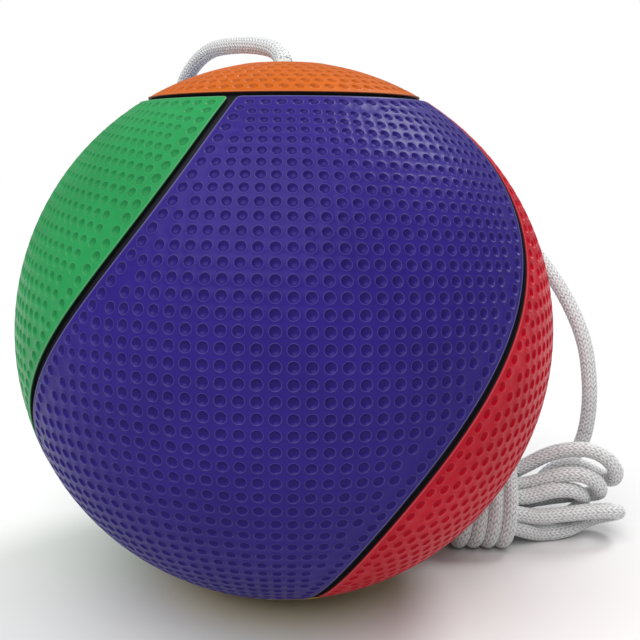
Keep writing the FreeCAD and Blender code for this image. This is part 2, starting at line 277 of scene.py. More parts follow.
def side_grid():
    """The side panels' grid of dimples, about the front panel's middle."""
    out = []
    for row in GRID_ROWS:
        height = ROW_FIRST - ROW_PITCH * row - ROW_GROWTH * row * row
        if abs(height) > CAP_LAT:
            continue
        for column in GRID_COLUMNS:
            across = COLUMN_FIRST + COLUMN_PITCH * column
            lat = height
            for _ in range(GRID_PASSES):
                az = across / math.sqrt(math.cos(math.radians(lat)))
                lat = max(-GRID_REACH, min(GRID_REACH, height - ROW_LEAN * az - ROW_SAG * az * az))
            out.append((lat, az))
    out = np.array(out)
    return on_ball(out[:, 0], out[:, 1])


def cap_grid(top):
    """Rings of dimples round a cap, each half a step from its neighbour."""
    edge = math.radians(90 - CAP_LAT) * BALL_R - CHANNEL_W / 2 - EDGE_ROW
    out = []
    ring = 1
    while edge - ring * CAP_PITCH > -1 * MM:
        radius = max(edge - ring * CAP_PITCH, 0.0)
        count = max(1, int(round(2 * math.pi * radius / CAP_PITCH)))
        az = (np.arange(count) + ring % 2 / 2) * 360.0 / count
        lat = 90 - math.degrees(radius / BALL_R)
        out.append(on_ball(lat if top else -lat, az))
        ring += 1
    return np.concatenate(out)


def near(points, targets):
    """Distance from each point to the nearest target, along the surface."""
    tree = kdtree.KDTree(len(targets))
    for i, target in enumerate(targets):
        tree.insert(target, i)
    tree.balance()
    return np.array([tree.find(point)[2] for point in points]) * BALL_R


def spacing(points):
    """Distance from each point to its nearest neighbour, along the surface."""
    tree = kdtree.KDTree(len(points))
    for i, point in enumerate(points):
        tree.insert(point, i)
    tree.balance()
    return np.array([tree.find_n(point, 2)[1][2] for point in points]) * BALL_R


def inside(flat_points, flat_outline):
    """Whether each point lies inside a closed outline."""
    x, y = flat_points[:, 0][:, None], flat_points[:, 1][:, None]
    x1, y1 = flat_outline[:, 0][None], flat_outline[:, 1][None]
    x2, y2 = np.roll(x1, -1, axis=1), np.roll(y1, -1, axis=1)
    crosses = (y1 > y) != (y2 > y)
    slope = (x2 - x1) / np.where(y2 == y1, 1e-12, y2 - y1)
    return (crosses & (x < x1 + (y - y1) * slope)).sum(axis=1) % 2 == 1


def dimple_places(outlines, grid, chart):
    """The rows along the outlines, and the grid where it is clear of them."""
    rows = np.concatenate([edge_row(outline) for outline in outlines])
    grid = grid[grid @ chart.c > FACING]
    keep = inside(chart.flat(grid), chart.flat(outlines[0]))
    grid = grid[keep]
    for outline in outlines:
        grid = grid[near(grid, outline) > EDGE_ROW]
    for hole in outlines[1:]:
        grid = grid[~inside(chart.flat(grid), chart.flat(hole))]
    grid = grid[near(grid, rows) > EDGE_CLEAR]
    return np.concatenate([rows, grid])


def fill(flat, loops, outlines):
    """Triangles between closed loops of points, without the loops' own insides except the first's."""
    edges = []
    owner = np.full(len(flat), -1)
    for number, loop in enumerate(loops):
        owner[loop] = number
        edges += list(zip(loop, np.roll(loop, -1)))
    points = [Vector(p) for p in flat]
    result = geometry.delaunay_2d_cdt(points, [(int(a), int(b)) for a, b in edges], [], 0, 1e-6, True)
    if len(result[0]) != len(flat):
        raise RuntimeError("the panel's outlines cross")
    source = np.array([ids[0] for ids in result[3]])
    faces = source[np.array(result[2])]
    own = owner[faces]
    same = (own[:, 0] == own[:, 1]) & (own[:, 1] == own[:, 2]) & (own[:, 0] >= 0)
    drop = same & (own[:, 0] >= outlines)
    middles = flat[faces].mean(axis=1)
    edge_only = (own >= 0).all(axis=1) & (own < outlines).all(axis=1)
    for number in range(outlines):
        test = np.where(edge_only)[0]
        within = inside(middles[test], flat[loops[number]])
        drop[test[within if number else ~within]] = True
    faces = faces[~drop]
    a, b, c = flat[faces[:, 0]], flat[faces[:, 1]], flat[faces[:, 2]]
    area = (b[:, 0] - a[:, 0]) * (c[:, 1] - a[:, 1]) - (b[:, 1] - a[:, 1]) * (c[:, 0] - a[:, 0])
    faces[area < 0] = faces[area < 0][:, ::-1]
    return faces[np.abs(area) > 1e-9]


def band(lower, upper):
    """Triangles between two closed rings of point numbers that run the same way."""
    l2, u2 = np.roll(lower, -1, axis=-1), np.roll(upper, -1, axis=-1)
    first = np.stack([lower, l2, u2], -1).reshape(-1, 3)
    second = np.stack([lower, u2, upper], -1).reshape(-1, 3)
    return np.concatenate([first, second])


class Shell:
    """Points and faces of one panel as it is put together."""

    def __init__(self, middle):
        self.chart = Chart(middle)
        self.ways, self.heights, self.faces = [], [], []
        self.shading = {"depth": [], "lip": [], "wall": []}

    def add(self, ways, heights, depth=0.0, lip=0.0, wall=0.0):
        """Numbers of the new points."""
        start = sum(len(rows) for rows in self.ways)
        count = len(ways)
        self.ways.append(ways)
        self.heights.append(np.broadcast_to(heights, count).astype(float))
        for key, value in (("depth", depth), ("lip", lip), ("wall", wall)):
            self.shading[key].append(np.broadcast_to(value, count).astype(float))
        return np.arange(start, start + count)

    def join(self, rings):
        for lower, upper in zip(rings, rings[1:]):
            self.faces.append(band(lower, upper))

    def filled(self, numbers, loops, outlines):
        """Triangles over these points, between the loops."""
        flat = self.chart.flat(np.concatenate(self.ways)[numbers])
        order = np.full(int(numbers.max()) + 1, -1)
        order[numbers] = np.arange(len(numbers))
        return numbers[fill(flat, [order[loop] for loop in loops], outlines)]

    def mesh(self, name):
        points = place(np.concatenate(self.ways), np.concatenate(self.heights))
        shading = {key: np.concatenate(values) for key, values in self.shading.items()}
        return new_mesh(name, points, np.concatenate(self.faces), **shading)


def add_edge(shell, outline):
    """The wall and the raised lip along one outline: its lowest ring and its innermost."""
    rings = []
    for distance, height in EDGE:
        moved = inset(outline, distance * MM) if distance else outline
        # lip marks where the material paints a paler tone, wear with a painted highlight; wall marks where
        # it paints black shade.
        lip, wall = float(height > LIP_OVER), float(height < WALL_UNDER)
        rings.append(shell.add(moved, height * MM, 0.0, lip, wall))
    shell.join(rings)
    return rings[0], rings[-1]


def add_dimples(shell, places):
    """Bowls pressed into the face: the outermost ring of each."""
    radius = np.minimum(DIMPLE_R, spacing(places) * DIMPLE_CLOSE)
    a, b = tangents(places)
    turn = np.arange(DIMPLE_SIDES) * 2 * math.pi / DIMPLE_SIDES
    rim = a[:, None] * np.cos(turn)[None, :, None] + b[:, None] * np.sin(turn)[None, :, None]
    rings = []
    for share, deep in BOWL:
        ring = unit(places[:, None] + rim * (radius * share / BALL_R)[:, None, None])
        low = np.repeat(-radius * DIMPLE_DEPTH_SHARE * deep, DIMPLE_SIDES)
        # The proud ring round a dimple takes the lip's paler tone: painted highlight, with some wear.
        pale_wear_and_highlight = DIMPLE_RIM_WEAR_AND_HIGHLIGHT if deep < 0 else 0.0
        numbers = shell.add(ring.reshape(-1, 3), low, max(deep, 0.0), pale_wear_and_highlight)
        rings.append(numbers.reshape(-1, DIMPLE_SIDES))
    shell.join(rings)
    centres = shell.add(places, -radius * DIMPLE_DEPTH_SHARE, 1.0)
    last = rings[-1]
    hub = np.repeat(centres[:, None], DIMPLE_SIDES, axis=1)
    shell.faces.append(np.stack([last, np.roll(last, -1, axis=1), hub], -1).reshape(-1, 3))
    return rings[0]


def add_inside(shell, outlines, bottoms, places):
    """The plain inner face, between the lowest rings of the edges."""
    coarse = places[::2]
    clear = np.min([near(coarse, outline) for outline in outlines], axis=0)
    within = shell.add(coarse[clear > INSIDE_CLEAR], -PANEL_T)
    back = np.concatenate(bottoms + [within])
    shell.faces.append(shell.filled(back, bottoms, len(bottoms))[:, ::-1])


def panel_mesh(name, outlines, grid, middle):
    """Closed shell of one panel: its lipped edges, its dimpled face and its plain inside."""
    shell = Shell(middle)
    edges = [add_edge(shell, outline) for outline in outlines]
    bottoms = [bottom for bottom, _ in edges]
    loops = [loop for _, loop in edges]
    places = dimple_places(outlines, grid, shell.chart)
    rims = add_dimples(shell, places)
    surface = np.concatenate(loops + [rims.ravel()])
    shell.faces.append(shell.filled(surface, loops + list(rims), len(loops)))
    add_inside(shell, outlines, bottoms, places)
    return shell.mesh(name)


def turned(mesh, name, degrees):
    """Copy of a mesh turned about the ball's upright axis."""
    copy = mesh.copy()
    copy.name = name
    count = len(copy.vertices)
    points = np.zeros(count * 3, np.float32)
    copy.vertices.foreach_get("co", points)
    points = points.reshape(-1, 3)
    c, s = math.cos(math.radians(degrees)), math.sin(math.radians(degrees))
    x, y = points[:, 0].copy(), points[:, 1].copy()
    points[:, 0], points[:, 1] = x * c - y * s, x * s + y * c
    copy.vertices.foreach_set("co", points.ravel())
    copy.update()
    return copy


# ---- materials -----------------------------------------------------------------------------------
FIBRE_SCALE = 1400.0
GRAIN_HEIGHT = 0.2 * MM              # threads; moulded rubber has half as much again
RUBBER_GRAIN_HEIGHT = 0.3 * MM


def material(name, roughness, specular=0.5, metallic=0.0, sheen=0.0):
    """A new material, its node tree and its shader, with what is the same all over it."""
    made = bpy.data.materials.new(name)
    made.use_nodes = True
    shader = made.node_tree.nodes["Principled BSDF"]
    shader.inputs["Roughness"].default_value = roughness
    shader.inputs["Specular IOR Level"].default_value = specular
    shader.inputs["Metallic"].default_value = metallic
    shader.inputs["Sheen Weight"].default_value = sheen
    return made, made.node_tree, shader


def node(tree, kind, **values):
    """A new node with these inputs or settings."""
    made = tree.nodes.new(kind)
    for key, value in values.items():
        if key in made.inputs:
            made.inputs[key].default_value = value
        else:
            setattr(made, key, value)
    return made


def noise(tree, scale, detail=3.0, roughness=0.55):
    """Noise fixed to the object, with this many cells to the metre."""
    place_node = node(tree, "ShaderNodeTexCoord")
    texture = node(tree, "ShaderNodeTexNoise", Scale=scale, Detail=detail, Roughness=roughness)
    tree.links.new(place_node.outputs["Object"], texture.inputs["Vector"])
    return texture.outputs["Fac"]


def mixed(tree, factor, low, high, span=(0.3, 0.7)):
    """Colour from low to high as the factor crosses the span."""
    ramp = node(tree, "ShaderNodeValToRGB")
    ramp.color_ramp.elements[0].position, ramp.color_ramp.elements[1].position = span
    ramp.color_ramp.elements[0].color = (*low, 1.0)
    ramp.color_ramp.elements[1].color = (*high, 1.0)
    tree.links.new(factor, ramp.inputs["Fac"])
    return ramp.outputs["Color"]


def blended(tree, factor, a, b):
    """Colour a where the factor is 0, b where it is 1."""
    mix = node(tree, "ShaderNodeMix", data_type="RGBA")
    tree.links.new(factor, mix.inputs[0])
    for socket, value in ((mix.inputs[6], a), (mix.inputs[7], b)):
        if isinstance(value, tuple):
            socket.default_value = (*value, 1.0)
        else:
            tree.links.new(value, socket)
    return mix.outputs[2]


def scaled(tree, value, low, high):
    """A number from low to high as the value goes from 0 to 1."""
    span = node(tree, "ShaderNodeMapRange")
    span.inputs["To Min"].default_value = low
    span.inputs["To Max"].default_value = high
    tree.links.new(value, span.inputs["Value"])
    return span.outputs["Result"]


def rough_from(tree, shader, scale, low, high):
    """Roughness that wanders between two values."""
    tree.links.new(scaled(tree, noise(tree, scale), low, high), shader.inputs["Roughness"])


def bump(tree, shader, height, strength, distance):
    made = node(tree, "ShaderNodeBump", Strength=strength, Distance=distance)
    tree.links.new(height, made.inputs["Height"])
    tree.links.new(made.outputs["Normal"], shader.inputs["Normal"])


def shade(colour, factor):
    return tuple(min(1.0, c * factor) for c in colour)


def panel_rubber(name, colour):
    """Moulded rubber: a fine grain, slow colour drift, painted shade in the dimples and on the channel
    walls, and a paler lip and dimple rims, part wear and part painted highlight.
    """
    made, tree, shader = material(name, 0.34, specular=0.07)
    drift = mixed(tree, noise(tree, 38.0, 4.0), shade(colour, 0.9), shade(colour, 1.08))
    # Painted shade: the base colour darkens towards the bottom of each dimple.
    depth = node(tree, "ShaderNodeAttribute", attribute_name="depth")
    deep = scaled(tree, depth.outputs["Fac"], 0.0, 0.3)
    dimple_shaded = blended(tree, deep, drift, shade(colour, 0.5))
    # Painted highlight, with some wear: the raised lip and the ring round each dimple turn paler.
    lip = node(tree, "ShaderNodeAttribute", attribute_name="lip")
    lip_wear_and_highlight = scaled(tree, lip.outputs["Fac"], 0.0, 0.35)
    pale_wear_and_highlight = tuple(0.6 * c + 0.2 for c in colour)
    lipped = blended(tree, lip_wear_and_highlight, dimple_shaded, pale_wear_and_highlight)
    # Painted shade: the channel walls under the lip are black.
    wall = node(tree, "ShaderNodeAttribute", attribute_name="wall")
    painted_wall_shade = (0.012, 0.012, 0.014)
    tree.links.new(blended(tree, wall.outputs["Fac"], lipped, painted_wall_shade), shader.inputs["Base Color"])
    rough_from(tree, shader, 120.0, 0.28, 0.42)
    bump(tree, shader, noise(tree, 2600.0, 2.0), 0.12, RUBBER_GRAIN_HEIGHT)
    return made


def black_rubber(name, value, roughness=0.5):
    """Matt black rubber with a slightly blue tone and a fine grain."""
    made, tree, shader = material(name, roughness, specular=0.1)
    low, high = (value, value * 1.1, value * 1.5), (value * 1.6, value * 1.8, value * 2.4)
    tree.links.new(mixed(tree, noise(tree, 90.0, 4.0), low, high), shader.inputs["Base Color"])
    rough_from(tree, shader, 300.0, roughness - 0.1, roughness + 0.1)
    bump(tree, shader, noise(tree, 2200.0, 2.0), 0.15, RUBBER_GRAIN_HEIGHT)
    return made


def steel(name, value=0.62, roughness=0.28):
    """Bare steel with a faint change of tone and polish."""
    made, tree, shader = material(name, roughness, metallic=1.0)
    low, high = (value * 0.9,) * 3, (value * 1.1,) * 3
    tree.links.new(mixed(tree, noise(tree, 500.0), low, high), shader.inputs["Base Color"])
    rough_from(tree, shader, 900.0, roughness - 0.08, roughness + 0.1)
    return made


def fibre(name, low, high):
    """Fine filaments: a grain in both colour and height."""
    made, tree, shader = material(name, 0.6, specular=0.35, sheen=0.25)
    tree.links.new(mixed(tree, noise(tree, FIBRE_SCALE), low, high), shader.inputs["Base Color"])
    bump(tree, shader, noise(tree, FIBRE_SCALE * 2, 2.0), 0.3, GRAIN_HEIGHT)
    return made


def rope_material(name):
    """White nylon braid: bright filaments on the stitches, painted shade in the gaps between them."""
    made, tree, shader = material(name, 0.5, specular=0.4, sheen=0.3)
    height = node(tree, "ShaderNodeAttribute", attribute_name="height")
    filaments = mixed(tree, noise(tree, 1800.0, 3.0), (0.50, 0.51, 0.515), (0.82, 0.83, 0.83))
    # Painted shade: the base colour goes dark grey where the surface sinks between stitches.
    gap_shade_mix = mixed(tree, height.outputs["Fac"], (0.0, 0.0, 0.0), (1.0, 1.0, 1.0), span=(0.1, 0.75))
    tree.links.new(blended(tree, gap_shade_mix, (0.15, 0.156, 0.16), filaments), shader.inputs["Base Color"])
    bump(tree, shader, noise(tree, 3600.0, 2.0), 0.35, GRAIN_HEIGHT)
    return made


# ---- rope ----------------------------------------------------------------------------------------
# The free rope's route, near the CAD tube's: out of the neck, over the ball's back shoulder and down.
NECK_END = (0.0, 0.0113, 0.2163)
FREE_ROUTE = [
    (-0.001, 0.0175, 0.2216),
    (-0.009, 0.030, 0.2256),
    (-0.022, 0.050, 0.2282),
    (-0.037, 0.075, 0.2284),
    (-0.050, 0.093, 0.2168),
    (-0.053, 0.098, 0.2030),
    (-0.048, 0.097, 0.190),
    (-0.028, 0.092, 0.176),
    (0.010, 0.096, 0.1735),
    (0.048, 0.090, 0.1705),
    (0.084, 0.085, 0.162),
    (0.115, 0.081, 0.145),
    (0.1358, 0.070, 0.119),
    (0.1472, 0.058, 0.093),
    (0.1498, 0.0525, 0.070),
    (0.1505, 0.0535, 0.053),
    (0.1490, 0.0545, 0.040),
    (0.1440, 0.0555, 0.0285),
    (0.1350, 0.0558, 0.0210),
    (0.1240, 0.0535, 0.0168),
    (0.1150, 0.0470, 0.0190),
]
# Where each strand lies in the bound part of the hank: Y and Z.
SLOTS = {
    "lead": (0.0418, 0.0203),
    "a_low": (0.0350, 0.0096),
    "a_high": (0.0410, 0.0275),
    "b_high": (0.0338, 0.0248),
    "b_low": (0.0344, 0.0160),
    "c_low": (0.0276, 0.0116),
    "c_high": (0.0275, 0.0208),
    "d_high": (0.0215, 0.0162),
    "d_low": (0.0205, 0.0096),
}
BOUND_X = (0.108, 0.097, 0.086)
# The loops at the hank's free end, each from one strand of its pair to the other.
LOOP_A = [
    (0.1170, 0.0405, 0.0100), (0.1240, 0.0460, 0.0185), (0.1310, 0.0482, 0.0265), (0.1390, 0.0485, 0.0305),
    (0.1470, 0.0478, 0.0296), (0.1532, 0.0450, 0.0268), (0.1570, 0.0397, 0.0256), (0.1584, 0.0345, 0.0282),
    (0.1575, 0.0318, 0.0338), (0.1530, 0.0318, 0.0395), (0.1455, 0.0335, 0.0430), (0.1365, 0.0360, 0.0425),
    (0.1270, 0.0390, 0.0390), (0.1180, 0.0415, 0.0325),
]
LOOP_B = [
    (0.1165, 0.0350, 0.0250), (0.125, 0.0330, 0.0285), (0.1330, 0.0305, 0.0320), (0.1405, 0.0285, 0.0325),
    (0.1475, 0.0285, 0.0290), (0.1510, 0.0310, 0.0230), (0.1485, 0.0370, 0.0190), (0.1410, 0.0405, 0.0175),
    (0.130, 0.0400, 0.0165), (0.118, 0.0370, 0.0160),
]
LOOP_C = [
    (0.118, 0.0310, 0.0105), (0.129, 0.0335, 0.0092), (0.1380, 0.0350, 0.0098), (0.1430, 0.0340, 0.0145),
    (0.1425, 0.0310, 0.0210), (0.1365, 0.0285, 0.0250), (0.1270, 0.0280, 0.0250), (0.117, 0.0290, 0.0215),
]
LOOP_D = [
    (0.118, 0.0245, 0.0130), (0.130, 0.0250, 0.0138), (0.1420, 0.0252, 0.0153), (0.1508, 0.0250, 0.0160),
    (0.1573, 0.0264, 0.0151), (0.1600, 0.0312, 0.0124), (0.1573, 0.0368, 0.0088), (0.1513, 0.0382, 0.0070),
    (0.1440, 0.0350, 0.0055),
    (0.1370, 0.0302, 0.0044), (0.1290, 0.0280, 0.0036), (0.1220, 0.0270, 0.0036), (0.1160, 0.0240, 0.0055),
]
# Behind the ball the bundle bends towards the back and ends in a fan of folds. The fan's middle, the
# way it points, and each fold: distance along that way, distance across it and height.
BEND_MIDDLE = Vector((0.0672, 0.0395, 0.0))
BEND_WAY = Vector((-0.80, 0.60, 0.0))
FAN_MIDDLE = Vector((0.0610, 0.0480, 0.0))
FAN_WAY = Vector((-0.60, 0.80, 0.0))
BUNDLE_Y = 0.033
FOLDS = {
    "lead": [
        (0.0050, 0.0108, 0.0192), (0.0112, 0.0112, 0.0172), (0.0165, 0.0080, 0.0138),
        (0.0178, 0.0020, 0.0104), (0.0142, -0.0028, 0.0082), (0.0075, -0.0030, 0.0078),
    ],
    "a_high": [
        (0.0050, 0.0130, 0.0285), (0.0125, 0.0185, 0.0290), (0.0200, 0.0190, 0.0284),
        (0.0252, 0.0140, 0.0274), (0.0248, 0.0075, 0.0266), (0.0190, 0.0030, 0.0260),
        (0.0115, 0.0018, 0.0257),
    ],
    "b_low": [
        (0.0050, 0.0045, 0.0172), (0.0130, 0.0060, 0.0188), (0.0205, 0.0025, 0.0186),
        (0.0245, -0.0035, 0.0158), (0.0235, -0.0090, 0.0122), (0.0180, -0.0120, 0.0100),
        (0.0110, -0.0108, 0.0096),
    ],
    "c_high": [
        (0.0050, -0.0048, 0.0218), (0.0120, -0.0046, 0.0228), (0.0190, -0.0058, 0.0224),
        (0.0240, -0.0108, 0.0202), (0.0232, -0.0168, 0.0168), (0.0175, -0.0195, 0.0150),
        (0.0100, -0.0168, 0.0150),
    ],
}
# One turn of the binding, from under the front edge up the front, over the top and down the back.
TURN = [
    (0.0165, 0.0042), (0.0134, 0.0095), (0.0146, 0.0175), (0.0205, 0.0250), (0.0280, 0.0300),
    (0.0360, 0.0342), (0.0435, 0.0342), (0.0488, 0.0270), (0.0492, 0.0180), (0.0475, 0.0095),
    (0.0415, 0.0040), (0.0330, 0.0035), (0.0240, 0.0035),
]
TURNS = 5
TURN_FIRST_X = 0.0742
TURN_PITCH = 0.0067
TURN_LEAN = 0.008                    # the front of a turn leans towards the free end
TURN_FRONT = 6                       # points of a turn that climb
FIRST_TURN_FROM = 3                  # the first turn's earlier points are the rise below
LAST_TURN_TO = 8                     # the last turn ends behind the bundle
# From the hank's last strand up round the bundle, into the first turn.
RISE = [
    (0.0718, 0.0204, 0.0080), (0.0660, 0.0196, 0.0088), (0.0622, 0.0180, 0.0138),
    (0.0650, 0.0168, 0.0200), (0.0706, 0.0180, 0.0232),
]
# Out behind the bundle, along the floor and up to the rope's end.
TAIL = [
    (0.107, 0.0505, 0.0120), (0.104, 0.0570, 0.0055), (0.095, 0.0620, 0.0040), (0.085, 0.0630, 0.0045),
    (0.076, 0.0620, 0.0085), (0.070, 0.0640, 0.0125), (0.0655, 0.0712, 0.0150), (0.0596, 0.0815, 0.0129),
]


def across(way):
    """Level direction square to another, to its right."""
    return Vector((way.y, -way.x, 0.0))


def bound(strand, back=False):
    """Points of a strand through the binding, towards the fan or back from it."""
    y, z = SLOTS[strand]
    points = [(x, y, z) for x in BOUND_X]
    for middle, way in ((BEND_MIDDLE, BEND_WAY), (FAN_MIDDLE, FAN_WAY)):
        spot = middle + across(way) * (y - BUNDLE_Y)
        points.append((spot.x, spot.y, z))
    return points[::-1] if back else points


def fold(strand):
    """The fold that a strand ends in, past the bend."""
    points = []
    for along, sideways, height in FOLDS[strand]:
        spot = FAN_MIDDLE + FAN_WAY * along + across(FAN_WAY) * sideways
        points.append((spot.x, spot.y, height))
    return points


def binding():
    """The turns round the bundle, climbing at the front and moving towards the free end."""
    points = []
    last = len(TURN)
    for number in range(TURNS):
        for i, (y, z) in enumerate(TURN):
            if number == 0 and i < FIRST_TURN_FROM:
                continue
            if i <= TURN_FRONT:
                x = TURN_LEAN * i / TURN_FRONT
            else:
                x = TURN_LEAN + (TURN_PITCH - TURN_LEAN) * (i - TURN_FRONT) / (last - TURN_FRONT)
            points.append((TURN_FIRST_X + TURN_PITCH * number + x, y, z))
            if number == TURNS - 1 and i == LAST_TURN_TO:
                return points
    return points


def rope_route():
    """The whole rope, from the eye's neck to its sealed end."""
    route = [NECK_END] + FREE_ROUTE
    route += bound("lead") + fold("lead") + bound("a_low", back=True)
    route += LOOP_A + bound("a_high") + fold("a_high") + bound("b_high", back=True)
    route += LOOP_B + bound("b_low") + fold("b_low") + bound("c_low", back=True)
    route += LOOP_C + bound("c_high") + fold("c_high") + bound("d_high", back=True)
    route += LOOP_D + bound("d_low")[:-2] + RISE + binding() + TAIL
    return [Vector(point) for point in route]


def spline_points(points):
    """Points along one smooth NURBS curve that has these as its control points."""
    curve = bpy.data.curves.new("rope_line", "CURVE")
    curve.dimensions = "3D"
    curve.resolution_u = 10
    spline = curve.splines.new("NURBS")
    spline.points.add(len(points) - 1)
    for point, at in zip(spline.points, points):
        point.co = (*at, 1.0)
    spline.order_u = 3
    spline.use_endpoint_u = True
    line = bpy.data.objects.new("rope_line", curve)
    mesh = bpy.data.meshes.new_from_object(line)
    found = np.array([v.co for v in mesh.vertices])
    bpy.data.objects.remove(line)
    bpy.data.meshes.remove(mesh)
    return found


def frames(line):
    """The line, its tangents, and a pair of normals that turns as little as it can along it."""
    tangent = unit(np.gradient(line, axis=0))
    start = np.cross(tangent[0], [1.0, 0.0, 0.0] if abs(tangent[0][0]) < 0.9 else [0.0, 0.0, 1.0])
    normal = np.zeros_like(tangent)
    normal[0] = start / np.linalg.norm(start)
    for i in range(1, len(line)):
        carried = normal[i - 1] - tangent[i] * (normal[i - 1] @ tangent[i])
        normal[i] = carried / np.linalg.norm(carried)
    return line, tangent, normal, np.cross(tangent, normal)


def grid_faces(rings, sides, closed=False):
    """Quads of a tube of rings."""
    numbers = np.arange(rings * sides).reshape(rings, sides)
    low = numbers if closed else numbers[:-1]
    high = np.roll(numbers, -1, axis=0) if closed else numbers[1:]
    faces = np.stack([low, np.roll(low, -1, axis=1), np.roll(high, -1, axis=1), high], -1)
    return faces.reshape(-1, 4)


def capped(points, faces, rings, sides):
    """Triangles that close both ends of a tube, with its quads split."""
    first, last = len(points), len(points) + 1
    middles = [points[:sides].mean(axis=0), points[-sides:].mean(axis=0)]
    points = np.concatenate([points, middles])
    triangles = np.concatenate([faces[:, [0, 1, 2]], faces[:, [0, 2, 3]]])
    ring = np.arange(sides)
    start = np.stack([np.roll(ring, -1), ring, np.full(sides, first)], -1)
    end_ring = ring + (rings - 1) * sides
    end = np.stack([end_ring, np.roll(end_ring, -1), np.full(sides, last)], -1)
    return points, np.concatenate([triangles, start, end])


def braid(name, path, radius, look, phase=0.0, closed=False):
    """Tube with the braid's slanted stitches in its surface, mirrored from one column to the next."""
    line, tangent, normal, side = path
    rings, sides = len(line), WALES * WALE_POINTS
    if closed:
        back = np.cross(tangent[0], normal[-1])
        twist = math.atan2(back @ normal[0] * -1, normal[-1] @ normal[0])
    else:
        twist = 0.0
    radius = np.broadcast_to(radius, rings)
    step = np.linalg.norm(np.diff(line, axis=0), axis=1)
    along = phase + np.concatenate([[0], np.cumsum(step)])
    around = np.arange(sides) / WALE_POINTS
    wale = np.floor(around).astype(int)
    sideways = (around - wale) * 2 - 1
    mirror = np.where(wale % 2, 1.0, -1.0)
    stage = along[:, None] / STITCH + STITCH_SLANT * sideways * mirror
    lump = 1 - np.abs(2 * (stage - np.floor(stage)) - 1) ** STITCH_SHARPNESS
    crown = 1 - np.abs(sideways) ** 3 * CROWN_FALL
    height = crown * (STITCH_FLOOR + (1 - STITCH_FLOOR) * lump)
    reach = radius[:, None] + STITCH_HEIGHT * (height - STITCH_MEAN)
    turn = 2 * math.pi * np.arange(sides) / sides + (np.arange(rings) / rings * twist)[:, None]
    out = normal[:, None] * np.cos(turn)[..., None] + side[:, None] * np.sin(turn)[..., None]
    points = (line[:, None] + out * reach[..., None]).reshape(-1, 3)
    height = height.ravel()
    if closed:
        quads = grid_faces(rings, sides, closed=True)
        faces = np.concatenate([quads[:, [0, 1, 2]], quads[:, [0, 2, 3]]])
    else:
        points, faces = capped(points, grid_faces(rings, sides), rings, sides)
        height = np.concatenate([height, [0.5, 0.5]])
    return new_piece(name, new_mesh(name, points, faces, 80.0, height=height), look)


def tube(name, line, radius, look, sides=16):
    """Plain round tube with closed ends."""
    line, _, normal, side = frames(line)
    turn = 2 * math.pi * np.arange(sides) / sides
    radius = np.broadcast_to(radius, len(line))[:, None, None]
    out = normal[:, None] * np.cos(turn)[None, :, None] + side[:, None] * np.sin(turn)[None, :, None]
    points = (line[:, None] + out * radius).reshape(-1, 3)
    points, faces = capped(points, grid_faces(len(line), sides), len(line), sides)
    return new_piece(name, new_mesh(name, points, faces, 60.0), look)


# ---- pieces' colours and looks -------------------------------------------------------------------
PANEL_COLOURS = {
    "panel_top": ("orange_rubber", (0.47, 0.095, 0.004)),
    "panel_bottom": ("yellow_rubber", (0.50, 0.33, 0.015)),
    "panel_front": ("purple_rubber", (0.024, 0.013, 0.160)),
    "panel_left": ("green_rubber", (0.018, 0.24, 0.068)),
    "panel_right": ("red_rubber", (0.44, 0.001, 0.014)),
    "panel_back": ("blue_rubber", (0.008, 0.065, 0.30)),
}


def carry_over():
    """Looks for the CAD nodes that stay."""
    looks = {
        "carcass": black_rubber("black_rubber", 0.006),
        "winding": fibre("nylon_winding", (0.6, 0.6, 0.52), (0.8, 0.8, 0.74)),
        "bladder": black_rubber("bladder_rubber", 0.02, 0.6),
        "valve_body": black_rubber("valve_rubber", 0.015, 0.45),
        "valve_core": black_rubber("valve_core_rubber", 0.03, 0.55),
        "tether_cup": black_rubber("cup_rubber", 0.014, 0.5),
        "cup_patch": fibre("patch_fabric", (0.5, 0.48, 0.4), (0.66, 0.64, 0.56)),
        "pin_sockets": steel("socket_steel", 0.5, 0.35),
        "tether_pin": steel("pin_steel"),
    }
    for name, look in looks.items():
        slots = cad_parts[name].data.materials
        if slots:
            slots[0] = look
        else:
            slots.append(look)


# ---- ball ----------------------------------------------------------------------------------------
def add_panel(name, mesh):
    slot, colour = PANEL_COLOURS[name]
    piece = new_piece(name + "_skin", mesh, panel_rubber(slot, colour))
    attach(piece, "ball")
    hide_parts(name)


def side_panels():
    """Four panels from one outline; the back one has the valve's hole."""
    front = on_ball(0.0, 0.0)
    outline, grid = side_outline(), side_grid()
    hole = hole_outline(on_ball(VALVE_LAT, VALVE_AZ - 180.0), VALVE_HOLE_R)
    plain = panel_mesh("panel_front_skin", [outline], grid, front)
    holed = panel_mesh("panel_back_skin", [outline, hole], grid, front)
    for number, name in enumerate(SIDE_PANELS):
        source = holed if name == "panel_back" else plain
        add_panel(name, turned(source, name + "_skin", number * 360.0 / SEAM_COUNT))


def cap_panels():
    """The top cap, with the cup's mouth in it, and the bottom cap."""
    edge = CAP_LAT + math.degrees(CHANNEL_W / 2 / BALL_R)
    mouth = ring_outline(math.degrees(math.acos(CUP_R / BALL_R)), clockwise=True)
    top = [ring_outline(edge), mouth]
    bottom = [ring_outline(-edge)[::-1]]
    add_panel("panel_top", panel_mesh("panel_top_skin", top, cap_grid(True), on_ball(90.0, 0.0)))
    add_panel("panel_bottom", panel_mesh("panel_bottom_skin", bottom, cap_grid(False), on_ball(-90.0, 0.0)))


